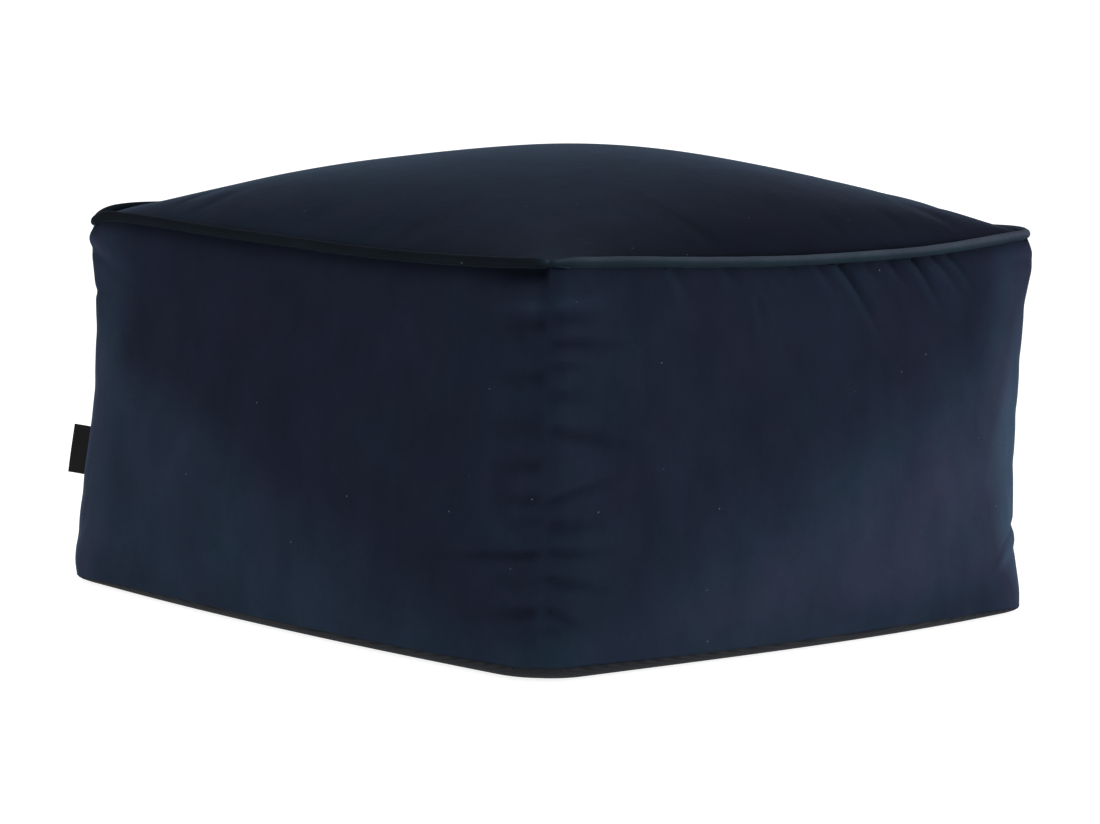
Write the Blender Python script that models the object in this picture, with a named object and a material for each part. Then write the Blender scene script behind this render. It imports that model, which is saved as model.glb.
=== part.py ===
"""A square floor pouf of navy velvet, filled and sewn, standing on its base.

Metres, +Z up. The origin is the middle of the base, on the floor. The top panel and the four
sides are sewn into one filled cover. A piping runs round the top seam, a dark base panel closes
the underside, and a small folded label is caught in the left corner seam.
"""

import math
from typing import NamedTuple

import bmesh
import bpy
from mathutils import Vector

# Driving dimensions.
SIDE = 0.500  # from corner seam to corner seam, along the piping
PIPING_HEIGHT = 0.286  # the corners of the piping, above the floor
CROWN_RISE = 0.0685  # the middle of the top, above the line of the piping
PIPING_RADIUS = 0.0037
PIPING_SIDES = 8
BASE_CLOTH = 0.002  # thickness of the base panel
BASE_SEAM_HEIGHT = 0.008  # where the base panel meets the velvet, in the middle of a side
GAP = 0.0003  # between two pieces that touch

SHARP_FROM = math.radians(50)  # edges that turn more than this look creased

# How finely the faces are divided.
CORNER_STEPS = 3  # from a corner seam to the end of its rounding
STRAIGHT_STEPS = 9  # from there to the middle of the face
STRAIGHT_CROWDING = 1.6  # over 1 crowds the steps towards the corner
FACE_STEPS = 2 * (CORNER_STEPS + STRAIGHT_STEPS)
WALL_STEPS = 42

# The base panel lies flat on the floor and turns up round its rim.
RIM_REACH = 0.013  # how far the rim stands out beyond the flat part
RIM_TURNS = (0, 30, 60, 90)  # degrees, from the floor to the seam
BASE_SEAM_POWER = 3  # how late the seam's height turns to that of the corner
BASE_SEAM_CORNERS = {  # its heights at the first and the last corner of each face
    "front": (0.0035, 0.0105),
    "right": (0.0105, 0.0035),
    "back": (0.0035, 0.0060),
    "left": (0.0060, 0.0035),
}

# The seams.
SEAM_DRAW = 0.0022  # a corner seam is drawn in by this much
SEAM_DRAW_WIDTH = 0.007
GATHER_START = 0.006  # a gather is full this far from its seam
PLEAT_START = 0.008  # and a pleat this far below the piping
PIPING_STAND = 0.0008  # the piping's middle stands this far out of the seam line
GROOVE_TURNS = (270, 225, 180)  # degrees round the piping, from under it to its inner side
CROWN_POWER = 2.1  # the crown's profile across the top; higher is flatter in the middle
CROWN_SHOULDER = 0.82  # lower is fuller towards the edges
CROWN_SHOULDER_DRIFT = 0.16  # of the shoulder's fullness, towards the right corner
CROWN_RISE_DRIFT = 0.10  # of the crown's rise, towards the right corner

# The label, folded in half, with both ends in the left corner seam.
LABEL_LENGTH = 0.037
LABEL_REACH = 0.0125
LABEL_THICKNESS = 0.0012
LABEL_MIDDLE_HEIGHT = 0.0990
LABEL_SLANT = math.radians(9)  # its fold stands higher than its ends
LABEL_CURL = 0.0015  # its fold has turned sideways by this much
LABEL_CLEARANCE = 0.0006  # from the seam, whose drawn-in sides stand a little proud of it
LABEL_STEPS = 6
LABEL_FOLD_TURNS = (-45, 0, 45)

NAVY = (0.013, 0.018, 0.032, 1.0)
PIPING_NAVY = (0.015, 0.020, 0.036, 1.0)
BASE_GREY = (0.018, 0.018, 0.020, 1.0)
LABEL_BLACK = (0.012, 0.012, 0.013, 1.0)


CORNER_CUT = 1 - math.sqrt(0.5)  # of its radius, that a rounded corner loses in x and in y


class Face(NamedTuple):
    """One side of the pouf, walked anticlockwise seen from above."""

    name: str
    outward: Vector
    onward: Vector
    fullness: float  # how much this face bulges, as a share of the table below
    drift: float  # how much of the bulge has slipped towards the end of the face, low down


FACES = (
    Face("front", Vector((0, -1, 0)), Vector((1, 0, 0)), 1.00, -0.20),
    Face("right", Vector((1, 0, 0)), Vector((0, 1, 0)), 1.04, 0.50),
    Face("back", Vector((0, 1, 0)), Vector((-1, 0, 0)), 0.97, 0.15),
    Face("left", Vector((-1, 0, 0)), Vector((0, -1, 0)), 0.98, -0.15),
)


class Sag(NamedTuple):
    """How far the piping hangs below the height of its corners."""

    place: float  # share of the way along the face
    front: float
    right: float
    back: float
    left: float


SAGS = (
    Sag(0.00, 0.0000, 0.0000, 0.0000, 0.0000),
    Sag(0.15, 0.0022, 0.0020, 0.0026, 0.0020),
    Sag(0.30, 0.0050, 0.0053, 0.0048, 0.0038),
    Sag(0.45, 0.0062, 0.0077, 0.0060, 0.0040),
    Sag(0.60, 0.0068, 0.0083, 0.0062, 0.0026),
    Sag(0.75, 0.0060, 0.0076, 0.0050, 0.0006),
    Sag(0.90, 0.0034, 0.0037, 0.0026, -0.0014),
    Sag(1.00, 0.0000, 0.0000, 0.0000, 0.0000),
)


class WallRow(NamedTuple):
    """The plan of the wall at one height."""

    place: float  # share of the way from the base seam to the piping
    corner_out: float
    middle_out: float
    radius: float
    drift: float  # share of each face's own drift


WALL_ROWS = (
    WallRow(0.00, 0.0000, 0.0225, 0.027, 1.0),
    WallRow(0.05, 0.0010, 0.0265, 0.026, 1.0),
    WallRow(0.20, 0.0010, 0.0305, 0.024, 0.8),
    WallRow(0.40, 0.0000, 0.0305, 0.022, 0.5),
    WallRow(0.60, 0.0000, 0.0255, 0.020, 0.3),
    WallRow(0.80, 0.0000, 0.0170, 0.018, 0.1),
    WallRow(0.93, 0.0005, 0.0090, 0.017, 0.0),
    WallRow(1.00, -0.0035, 0.0050, 0.020, 0.0),
)


class Lean(NamedTuple):
    """How far each corner seam stands out of the upright, along its diagonal."""

    place: float  # share of the piping's height
    left: float
    near: float
    right: float
    far: float


LEANS = (
    Lean(0.00, 0.0095, 0.0075, 0.0045, 0.0040),
    Lean(0.06, 0.0095, 0.0060, 0.0015, 0.0030),
    Lean(0.18, 0.0060, 0.0030, -0.0045, 0.0000),
    Lean(0.33, 0.0025, 0.0000, -0.0058, -0.0030),
    Lean(0.50, -0.0025, -0.0020, -0.0052, -0.0040),
    Lean(0.70, -0.0036, -0.0025, -0.0030, -0.0035),
    Lean(0.85, -0.0020, -0.0010, -0.0010, -0.0010),
    Lean(0.93, 0.0010, 0.0005, 0.0012, 0.0010),
    Lean(1.00, 0.0000, 0.0000, 0.0000, 0.0000),
)


class Corner(NamedTuple):
    """One upright corner seam: its side of the middle, and how unevenly it sits."""

    name: str
    side: Vector
    height: float  # of its piping above the others
    slip: Vector  # of its foot over the floor, against its top


CORNERS = (
    Corner("left", Vector((-1, -1, 0)), -0.0050, Vector((-0.001, 0.005, 0))),
    Corner("near", Vector((1, -1, 0)), 0.0025, Vector((0, 0, 0))),
    Corner("right", Vector((1, 1, 0)), 0.0015, Vector((0.002, -0.004, 0))),
    Corner("far", Vector((-1, 1, 0)), 0.0000, Vector((0, 0, 0))),
)


class Gather(NamedTuple):
    """A trough that runs from a corner seam into a face, where the seam gathers the velvet."""

    height: float
    reach: float
    depth: float
    slant: float  # how much the trough falls for each metre that it runs
    width: float


NEAR_SEAM_ON_FRONT = (
    Gather(0.234, 0.055, 0.0034, 0.10, 0.0080),
    Gather(0.200, 0.065, 0.0030, -0.05, 0.0075),
    Gather(0.169, 0.080, 0.0024, 0.10, 0.0100),
    Gather(0.141, 0.055, 0.0026, 0.10, 0.0070),
    Gather(0.118, 0.055, 0.0024, 0.10, 0.0065),
    Gather(0.084, 0.110, 0.0036, 0.13, 0.0065),
    Gather(0.046, 0.060, 0.0040, 0.14, 0.0080),
)
NEAR_SEAM_ON_RIGHT = (
    Gather(0.240, 0.042, 0.0024, 0.05, 0.0060),
    Gather(0.223, 0.085, 0.0028, 0.08, 0.0060),
    Gather(0.207, 0.038, 0.0024, 0.05, 0.0055),
    Gather(0.188, 0.040, 0.0024, 0.06, 0.0060),
    Gather(0.163, 0.095, 0.0030, 0.15, 0.0075),
    Gather(0.120, 0.060, 0.0030, -0.16, 0.0070),
    Gather(0.103, 0.055, 0.0024, 0.08, 0.0055),
    Gather(0.084, 0.078, 0.0030, 0.10, 0.0065),
    Gather(0.067, 0.068, 0.0028, 0.22, 0.0065),
    Gather(0.046, 0.045, 0.0032, 0.47, 0.0065),
)
RIGHT_SEAM_ON_RIGHT = (
    Gather(0.232, 0.036, 0.0022, 0.30, 0.0080),
    Gather(0.190, 0.034, 0.0016, 0.00, 0.0080),
    Gather(0.150, 0.032, 0.0018, 0.10, 0.0080),
    Gather(0.112, 0.034, 0.0018, 0.00, 0.0070),
    Gather(0.070, 0.036, 0.0020, 0.10, 0.0060),
    Gather(0.048, 0.030, 0.0036, 1.30, 0.0075),
)
LEFT_SEAM_ON_FRONT = (
    Gather(0.243, 0.034, 0.0040, 0.00, 0.0120),
    Gather(0.196, 0.036, 0.0018, 0.00, 0.0090),
    Gather(0.152, 0.034, 0.0014, 0.00, 0.0090),
    Gather(0.070, 0.034, 0.0014, 0.00, 0.0090),
    Gather(0.038, 0.036, 0.0016, 0.10, 0.0080),
)
# Each face has a seam at its start and one at its end. The two faces that don't show repeat
# the gathers of the two that do.
GATHERS = {
    "front": (LEFT_SEAM_ON_FRONT, NEAR_SEAM_ON_FRONT),
    "right": (NEAR_SEAM_ON_RIGHT, RIGHT_SEAM_ON_RIGHT),
    "back": (RIGHT_SEAM_ON_RIGHT, NEAR_SEAM_ON_FRONT),
    "left": (NEAR_SEAM_ON_RIGHT, LEFT_SEAM_ON_FRONT),
}


class Pleat(NamedTuple):
    """A short trough that falls from the piping into a face."""

    from_corner: float  # distance from the seam at the end of the face
    length: float
    depth: float
    slant: float  # how far it moves towards that seam for each metre that it falls
    width: float


PLEATS = {
    "right": (
        Pleat(0.084, 0.032, 0.0018, 0.90, 0.0055),
        Pleat(0.123, 0.040, 0.0030, 0.87, 0.0065),
        Pleat(0.201, 0.052, 0.0034, 0.95, 0.0075),
        Pleat(0.231, 0.030, 0.0018, 0.85, 0.0070),
        Pleat(0.326, 0.032, 0.0016, 0.60, 0.0080),
        Pleat(0.376, 0.040, 0.0016, 0.55, 0.0090),
    ),
    "left": (
        Pleat(0.110, 0.040, 0.0026, 0.50, 0.0080),
        Pleat(0.230, 0.046, 0.0026, 0.40, 0.0100),
    ),
}


def smooth(share):
    """Eases a share from 0 to 1, level at both ends."""
    share = min(max(share, 0.0), 1.0)
    return share * share * (3 - 2 * share)


def read_rows(rows, place, column):
    """A table's column at a place, on a smooth curve through the rows."""
    places = [row.place for row in rows]
    values = [getattr(row, column) for row in rows]
    place = min(max(place, places[0]), places[-1])
    low = max(index for index in range(len(rows) - 1) if places[index] <= place)
    slopes = []
    for index in (low, low + 1):
        before = max(index - 1, 0)
        after = min(index + 1, len(rows) - 1)
        slopes.append((values[after] - values[before]) / (places[after] - places[before]))
    span = places[low + 1] - places[low]
    share = (place - places[low]) / span
    bend = slopes[0] * share * (1 - share) ** 2 - slopes[1] * share**2 * (1 - share)
    return values[low] + (values[low + 1] - values[low]) * smooth(share) + bend * span


class Level(NamedTuple):
    """A rounded square whose sides bow outwards."""

    half: float
    radius: float
    bow: float
    drift: float


def wall_level(share):
    """The plan of the wall at a share of the way from the base seam to the piping."""
    corner_out = read_rows(WALL_ROWS, share, "corner_out")
    middle_out = read_rows(WALL_ROWS, share, "middle_out")
    radius = read_rows(WALL_ROWS, share, "radius")
    half = SIDE / 2 + corner_out + radius * CORNER_CUT
    bow = middle_out - corner_out - radius * CORNER_CUT
    return Level(half, radius, bow, read_rows(WALL_ROWS, share, "drift"))


def plan_point(face, step, level, out=0.0):
    """The point of a face's outline at a step from its first corner seam, and its share along."""
    half = level.half + out
    radius = level.radius + out
    middle = FACE_STEPS // 2
    from_seam = min(step, FACE_STEPS - step)
    if from_seam < CORNER_STEPS:
        turn = math.radians(45) * (1 - from_seam / CORNER_STEPS)
        outward = half - radius + radius * math.cos(turn)
        along = half - radius + radius * math.sin(turn)
    else:
        share = ((from_seam - CORNER_STEPS) / STRAIGHT_STEPS) ** STRAIGHT_CROWDING
        outward = half
        along = (half - radius) * (1 - share)
    if step < middle:
        along = -along
    share_along = along / half
    drift = level.drift * face.drift
    outward += level.bow * face.fullness * (1 - share_along**2) * (1 + drift * share_along)
    return face.outward * outward + face.onward * along, share_along


def settle(point):
    """Leans the four corners out or in, as the filling has settled, and all between with them."""
    height = point.z / PIPING_HEIGHT
    across = min(max(point.x / (SIDE / 2), -1.0), 1.0)
    deep = min(max(point.y / (SIDE / 2), -1.0), 1.0)
    moved = point.copy()
    for corner in CORNERS:
        weight = (1 + corner.side.x * across) * (1 + corner.side.y * deep) / 4
        lean = read_rows(LEANS, height, corner.name) * math.sqrt(0.5)
        moved += (corner.side * lean + corner.slip * max(1 - height, 0)) * weight
        moved.z += corner.height * weight**2 * height
    return moved


def piping_line_height(face, share_along):
    return PIPING_HEIGHT - read_rows(SAGS, (1 + share_along) / 2, face.name)


def base_seam_height(face, share_along):
    """The height of the base seam, which rises at the near corner and dips at the others."""
    first, last = BASE_SEAM_CORNERS[face.name]
    corner = last if share_along > 0 else first
    return BASE_SEAM_HEIGHT + (corner - BASE_SEAM_HEIGHT) * abs(share_along) ** BASE_SEAM_POWER


def gather_relief(face, share_along, from_seam, height):
    """How far the gathers of the nearer corner seam push the cloth in, as a negative number."""
    relief = 0.0
    rows = GATHERS[face.name][0 if share_along < 0 else 1]
    for row in rows:
        middle = row.height - row.slant * from_seam
        across = math.exp(-(((height - middle) / row.width) ** 2))
        fade = smooth(from_seam / GATHER_START) * (1 - smooth(from_seam / row.reach))
        relief -= row.depth * across * fade
    return relief


def pleat_relief(face, to_last_seam, below_piping):
    """How far the pleats under the piping push the cloth in, as a negative number."""
    relief = 0.0
    for row in PLEATS.get(face.name, ()):
        middle = row.from_corner - row.slant * below_piping
        across = math.exp(-(((to_last_seam - middle) / row.width) ** 2))
        fade = smooth(below_piping / PLEAT_START) * (1 - smooth(below_piping / row.length))
        relief -= row.depth * across * fade
    return relief


def wall_point(face, step, share):
    """A point of the velvet side, with its bulge, gathers, pleats and drawn-in corner seam."""
    level = wall_level(share)
    _, share_along = plan_point(face, step, level)
    low = base_seam_height(face, share_along) + GAP
    high = piping_line_height(face, share_along)
    height = low + (high - low) * share
    seam_place = level.half - level.radius * CORNER_CUT
    from_seam = max(seam_place - abs(share_along) * level.half, 0.0)
    to_last_seam = seam_place - share_along * level.half
    relief = gather_relief(face, share_along, from_seam, height)
    relief += pleat_relief(face, to_last_seam, high - height)
    relief -= SEAM_DRAW * (1 - smooth(from_seam / SEAM_DRAW_WIDTH)) * math.sin(math.pi * share) ** 0.5
    point, _ = plan_point(face, step, level, relief)
    return settle(point + Vector((0, 0, height)))


def seam_section(face, step, out, up):
    """A point beside the piping's middle: out of the seam line by out, and above it by up."""
    point, share_along = plan_point(face, step, wall_level(1.0), PIPING_STAND + out)
    return settle(point + Vector((0, 0, piping_line_height(face, share_along) + up)))


def rim_section(face, step, turn, inset):
    """A point of the base panel's turned-up rim, inset from its outer surface."""
    seam = wall_level(0.0)
    share = math.sin(turn)
    half = seam.half - RIM_REACH * (1 - share)
    radius = seam.radius + RIM_REACH * (1 - share)
    level = Level(half, radius, seam.bow, seam.drift)
    _, share_along = plan_point(face, step, level)
    height = base_seam_height(face, share_along) * (1 - math.cos(turn)) + inset * math.cos(turn)
    point, _ = plan_point(face, step, level, -inset * math.sin(turn))
    return settle(point + Vector((0, 0, height)))


def ring(section):
    """The points all the way round the pouf that a function of face and step gives."""
    return [section(face, step) for face in FACES for step in range(FACE_STEPS)]


def add_ring(mesh, points):
    return [mesh.verts.new(point) for point in points]


def skin(mesh, low, high):
    """Faces between two rings, pointing outwards when high follows low up the outside."""
    for index in range(len(low)):
        following = (index + 1) % len(low)
        mesh.faces.new((low[index], low[following], high[following], high[index]))


def crown_point(edges, column, row):
    """A point of the top panel between its four sewn edges, raised by the filling."""
    front, right, back, left = edges
    last = FACE_STEPS
    u = (front[column].x - front[0].x) / (front[last].x - front[0].x)
    v = (right[row].y - right[0].y) / (right[last].y - right[0].y)
    along = front[column].lerp(back[last - column], v)
    across = left[last - row].lerp(right[row], u)
    corners = front[0].lerp(front[last], u).lerp(left[0].lerp(back[0], u), v)
    rise_u = 1 - abs(2 * u - 1) ** CROWN_POWER
    rise_v = 1 - abs(2 * v - 1) ** CROWN_POWER
    to_right = u + v - 1
    shoulder = CROWN_SHOULDER - CROWN_SHOULDER_DRIFT * to_right
    rise = CROWN_RISE * (1 + CROWN_RISE_DRIFT * to_right) * (rise_u * rise_v) ** shoulder
    return along + across - corners + Vector((0, 0, rise))


def add_crown(mesh, edge_ring):
    """The top panel, a grid of faces that joins the last ring of the wall."""
    last = FACE_STEPS
    sides = []
    for number in range(len(FACES)):
        first = number * last
        sides.append([edge_ring[(first + step) % len(edge_ring)] for step in range(last + 1)])
    edges = [[vert.co.copy() for vert in side] for side in sides]
    front, right, back, left = sides
    grid = {}
    for index in range(last + 1):
        grid[index, 0] = front[index]
        grid[last, index] = right[index]
        grid[last - index, last] = back[index]
        grid[0, last - index] = left[index]
    for column in range(1, last):
        for row in range(1, last):
            grid[column, row] = mesh.verts.new(crown_point(edges, column, row))
    for column in range(last):
        for row in range(last):
            mesh.faces.new(
                (
                    grid[column, row],
                    grid[column + 1, row],
                    grid[column + 1, row + 1],
                    grid[column, row + 1],
                )
            )


def cloth_material(name, colour, roughness, sheen):
    material = bpy.data.materials.new(name)
    material.use_nodes = True
    shader = material.node_tree.nodes["Principled BSDF"]
    shader.inputs["Base Color"].default_value = colour
    shader.inputs["Roughness"].default_value = roughness
    shader.inputs["Metallic"].default_value = 0.0
    shader.inputs["Sheen Weight"].default_value = sheen
    material.diffuse_color = colour
    return material


def finished_object(name, bm, material):
    """Turns a closed mesh into a named, smooth-shaded object."""
    mesh = bpy.data.meshes.new(name)
    bm.normal_update()
    bm.to_mesh(mesh)
    bm.free()
    mesh.shade_smooth()
    mesh.set_sharp_from_angle(angle=SHARP_FROM)
    mesh.materials.append(material)
    made = bpy.data.objects.new(name, mesh)
    bpy.context.scene.collection.objects.link(made)
    return made


def make_velvet_cover():
    """The filled cover: underside, rebate for the base panel, four sides, groove and crown."""
    bm = bmesh.new()
    inset = BASE_CLOTH + GAP
    rings = []
    for turn in RIM_TURNS:
        rings.append(ring(lambda face, step, a=math.radians(turn): rim_section(face, step, a, inset)))
    above_rim = [point + Vector((0, 0, GAP)) for point in rings[-1]]
    rings.append(above_rim)
    for row in range(WALL_STEPS):
        share = row / WALL_STEPS
        rings.append(ring(lambda face, step, s=share: wall_point(face, step, s)))
    clearance = (PIPING_RADIUS + GAP) / math.cos(math.pi / PIPING_SIDES)
    for turn in GROOVE_TURNS:
        out = clearance * math.cos(math.radians(turn))
        up = clearance * math.sin(math.radians(turn))
        rings.append(ring(lambda face, step, o=out, u=up: seam_section(face, step, o, u)))
    verts = [add_ring(bm, points) for points in rings]
    bm.faces.new(list(reversed(verts[0])))
    for low, high in zip(verts, verts[1:]):
        skin(bm, low, high)
    add_crown(bm, verts[-1])
    return finished_object("velvet_cover", bm, cloth_material("navy velvet", NAVY, 0.85, 0.6))


def make_base_panel():
    """The dark cloth under the pouf, flat on the floor and turned up to its seam."""
    bm = bmesh.new()
    outer = []
    inner = []
    for turn in RIM_TURNS:
        angle = math.radians(turn)
        outer.append(add_ring(bm, ring(lambda face, step, a=angle: rim_section(face, step, a, 0.0))))
        inner.append(add_ring(bm, ring(lambda face, step, a=angle: rim_section(face, step, a, BASE_CLOTH))))
    rings = outer + inner[::-1]
    bm.faces.new(list(reversed(rings[0])))
    for low, high in zip(rings, rings[1:]):
        skin(bm, low, high)
    bm.faces.new(rings[-1])
    return finished_object("base_panel", bm, cloth_material("dark base cloth", BASE_GREY, 0.9, 0.1))


def make_piping():
    """The covered cord round the top seam, a closed tube along the seam line."""
    line = ring(lambda face, step: seam_section(face, step, 0.0, 0.0))
    curve = bpy.data.curves.new("top_piping", "CURVE")
    curve.dimensions = "3D"
    curve.bevel_depth = PIPING_RADIUS
    curve.bevel_resolution = PIPING_SIDES // 2 - 2
    spline = curve.splines.new("POLY")
    spline.points.add(len(line) - 1)
    for point, place in zip(spline.points, line):
        point.co = (*place, 1.0)
    spline.use_cyclic_u = True
    curve.materials.append(cloth_material("piping velvet", PIPING_NAVY, 0.8, 0.6))
    made = bpy.data.objects.new("top_piping", curve)
    bpy.context.scene.collection.objects.link(made)
    return made


def make_label():
    """The folded label, whose ends follow the left corner seam and whose fold stands away from it."""
    half = LABEL_THICKNESS / 2
    section = [(0, -half), (LABEL_REACH - half, -half)]
    for turn in LABEL_FOLD_TURNS:
        angle = math.radians(turn)
        section.append((LABEL_REACH - half + half * math.cos(angle), half * math.sin(angle)))
    section += [(LABEL_REACH - half, half), (0, half)]
    outward = CORNERS[0].side.normalized()
    sideways = Vector((-outward.y, outward.x, 0))
    bm = bmesh.new()
    rings = []
    for step in range(LABEL_STEPS + 1):
        down = step / LABEL_STEPS - 0.5
        height = LABEL_MIDDLE_HEIGHT - down * LABEL_LENGTH
        share = (height - BASE_SEAM_HEIGHT) / (PIPING_HEIGHT - BASE_SEAM_HEIGHT)
        seam = wall_point(FACES[0], 0, share) + outward * LABEL_CLEARANCE
        points = []
        for out, side in section:
            droop = Vector((0, 0, out * math.tan(LABEL_SLANT)))
            curl = LABEL_CURL * (out / LABEL_REACH) ** 2
            points.append(seam + outward * out + sideways * (side + curl) + droop)
        rings.append(add_ring(bm, points))
    bm.faces.new(rings[0])
    for low, high in zip(rings[1:], rings):
        skin(bm, low, high)
    bm.faces.new(list(reversed(rings[-1])))
    return finished_object("side_label", bm, cloth_material("label ribbon", LABEL_BLACK, 0.6, 0.1))


def main():
    for old in list(bpy.data.objects):
        bpy.data.objects.remove(old)
    make_velvet_cover()
    make_base_panel()
    make_piping()
    make_label()


main()
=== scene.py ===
# %% [markdown]
# A square floor pouf: five panels of navy velvet sewn into one cover and filled, a covered cord
# (the piping) in the top seam, a dark cloth base and a small folded ribbon in the left corner seam.
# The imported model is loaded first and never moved. Each soft piece is then made again, finer, in
# the space that its plain solid holds.

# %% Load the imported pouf
import math

import bmesh
import bpy
import numpy as np
from mathutils import Matrix, Vector


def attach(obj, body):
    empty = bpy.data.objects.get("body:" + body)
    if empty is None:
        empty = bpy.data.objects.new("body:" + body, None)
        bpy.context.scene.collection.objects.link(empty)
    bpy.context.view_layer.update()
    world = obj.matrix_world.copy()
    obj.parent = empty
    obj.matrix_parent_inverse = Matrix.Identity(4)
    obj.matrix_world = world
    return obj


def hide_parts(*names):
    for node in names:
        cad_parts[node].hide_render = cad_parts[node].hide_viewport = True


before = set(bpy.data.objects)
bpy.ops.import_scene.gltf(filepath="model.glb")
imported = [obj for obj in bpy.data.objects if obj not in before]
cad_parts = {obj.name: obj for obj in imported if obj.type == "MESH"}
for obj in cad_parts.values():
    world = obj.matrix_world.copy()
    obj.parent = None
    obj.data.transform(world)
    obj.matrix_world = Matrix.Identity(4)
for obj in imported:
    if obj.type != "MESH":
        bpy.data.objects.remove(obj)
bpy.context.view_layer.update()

# %% [markdown]
# The camera is a long lens, a few metres away, a little above the pouf and turned to its near
# corner. It is worked out from the outline of the pouf in the picture.

# %% Camera
TURN = math.radians(45.89)
RAISED = math.radians(7.74)
ROLLED = math.radians(1.68)
AWAY = 3.44
FOCAL_PIXELS = 4533.0
PICTURE_WIDTH = 1100
OFF_CENTRE = (4.3, 19.5)

camera_data = bpy.data.cameras.new("camera")
camera = bpy.data.objects.new("camera", camera_data)
bpy.context.scene.collection.objects.link(camera)
level = math.cos(RAISED)
back = Vector((math.sin(TURN) * level, -math.cos(TURN) * level, math.sin(RAISED)))
right = Vector((math.cos(TURN), math.sin(TURN), 0))
up = back.cross(right)
rolled_right = right * math.cos(ROLLED) + up * math.sin(ROLLED)
rolled_up = up * math.cos(ROLLED) - right * math.sin(ROLLED)
placed = Matrix((rolled_right, rolled_up, back)).transposed().to_4x4()
placed.translation = Vector((0, 0, 0.125)) + back * AWAY
camera.matrix_world = placed
camera_data.sensor_width = 36
camera_data.lens = 36 * FOCAL_PIXELS / PICTURE_WIDTH
camera_data.shift_x = -OFF_CENTRE[0] / PICTURE_WIDTH
camera_data.shift_y = OFF_CENTRE[1] / PICTURE_WIDTH
camera_data.clip_end = 100
bpy.context.scene.camera = camera
print("lens, mm:", round(camera_data.lens, 1))

# %% [markdown]
# A filled cover takes its shape from how its panels were cut and sewn. The plan is a square with
# rounded corners and sides that bow out, more so half way up. Tables give that plan at each
# height, and one helper reads them on a smooth curve, so that no row of the table shows.

# %% Reading a table smoothly
def eased(share):
    share = np.clip(share, 0.0, 1.0)
    return share * share * (3 - 2 * share)


def read(table, column, place):
    """A table's column at many places, on a smooth curve through its rows."""
    places = np.array([row[0] for row in table])
    values = np.array([row[column] for row in table])
    count = len(places)
    slopes = np.array([
        (values[min(i + 1, count - 1)] - values[max(i - 1, 0)])
        / (places[min(i + 1, count - 1)] - places[max(i - 1, 0)])
        for i in range(count)
    ])
    place = np.clip(place, places[0], places[-1])
    low = np.clip(np.searchsorted(places, place, "right") - 1, 0, count - 2)
    span = places[low + 1] - places[low]
    share = (place - places[low]) / span
    bend = slopes[low] * share * (1 - share) ** 2 - slopes[low + 1] * share**2 * (1 - share)
    return values[low] + (values[low + 1] - values[low]) * eased(share) + bend * span


# %% [markdown]
# The sizes of the cover, in metres. The filling rounds the five panels: the sides bow out most a
# third of the way up and are nearly straight at the top seam. Each side bows a little differently,
# as on a cover filled by hand, and the corner seams lean in half way up, where they are pulled
# most.

# %% The cut of the cover
SIDE = 0.500
PIPING_HEIGHT = 0.286
CROWN_RISE = 0.0685
CORNER_CUT = 1 - math.sqrt(0.5)
OUTWARD = np.array([(0, -1), (1, 0), (0, 1), (-1, 0)], float)  # front, right, back, left
ONWARD = np.array([(1, 0), (0, 1), (-1, 0), (0, -1)], float)
FULLNESS = (1.00, 1.04, 0.97, 0.98)
DRIFT = (-0.20, 0.50, 0.15, -0.15)
# share of the wall's height, corner out, middle out, corner radius, drift
WALL = (
    (0.00, 0.0000, 0.0225, 0.027, 1.0),
    (0.05, 0.0010, 0.0265, 0.026, 1.0),
    (0.20, 0.0010, 0.0305, 0.024, 0.8),
    (0.40, 0.0000, 0.0305, 0.022, 0.5),
    (0.60, 0.0000, 0.0255, 0.020, 0.3),
    (0.80, 0.0000, 0.0170, 0.018, 0.1),
    (0.93, 0.0005, 0.0090, 0.017, 0.0),
    (1.00, -0.0035, 0.0050, 0.020, 0.0),
)
# share along a side, and how far the piping sags there on the front, right, back and left
SAGS = (
    (0.00, 0.0000, 0.0000, 0.0000, 0.0000),
    (0.15, 0.0010, 0.0020, 0.0026, 0.0020),
    (0.30, 0.0036, 0.0053, 0.0048, 0.0038),
    (0.45, 0.0050, 0.0077, 0.0060, 0.0040),
    (0.60, 0.0065, 0.0083, 0.0062, 0.0030),
    (0.75, 0.0060, 0.0076, 0.0050, 0.0018),
    (0.90, 0.0034, 0.0037, 0.0026, -0.0010),
    (1.00, 0.0000, 0.0000, 0.0000, 0.0000),
)
# share of the piping's height, and how far the left, near, right and far corner seams lean out
LEANS = (
    (0.00, 0.0095, 0.0075, 0.0045, 0.0040),
    (0.06, 0.0095, 0.0060, 0.0015, 0.0030),
    (0.18, 0.0060, 0.0030, -0.0045, 0.0000),
    (0.33, 0.0025, 0.0000, -0.0058, -0.0030),
    (0.50, -0.0025, -0.0020, -0.0052, -0.0040),
    (0.70, -0.0036, -0.0025, -0.0030, -0.0035),
    (0.85, -0.0020, -0.0010, -0.0002, -0.0010),
    (0.93, 0.0012, 0.0005, 0.0028, 0.0010),
    (0.97, 0.0026, 0.0004, 0.0026, 0.0006),
    (1.00, 0.0028, 0.0000, 0.0012, 0.0000),
)
CORNER_SIDES = ((-1, -1), (1, -1), (1, 1), (-1, 1))  # left, near, right, far
CORNER_HEIGHTS = (-0.0050, 0.0025, 0.0025, 0.0)
CORNER_DROOPS = (0.0086, 0.0, 0.0012, 0.0)
CORNER_SLIPS = ((-0.001, 0.005), (0, 0), (0.002, -0.004), (0, 0))
BASE_SEAM = 0.008
BASE_SEAM_ENDS = ((0.0035, 0.0105), (0.0105, 0.0035), (0.0035, 0.0060), (0.0060, 0.0035))
print("widest, a third of the way up, mm:", round(1000 * (SIDE + 2 * float(read(WALL, 2, 0.33)))))


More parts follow.
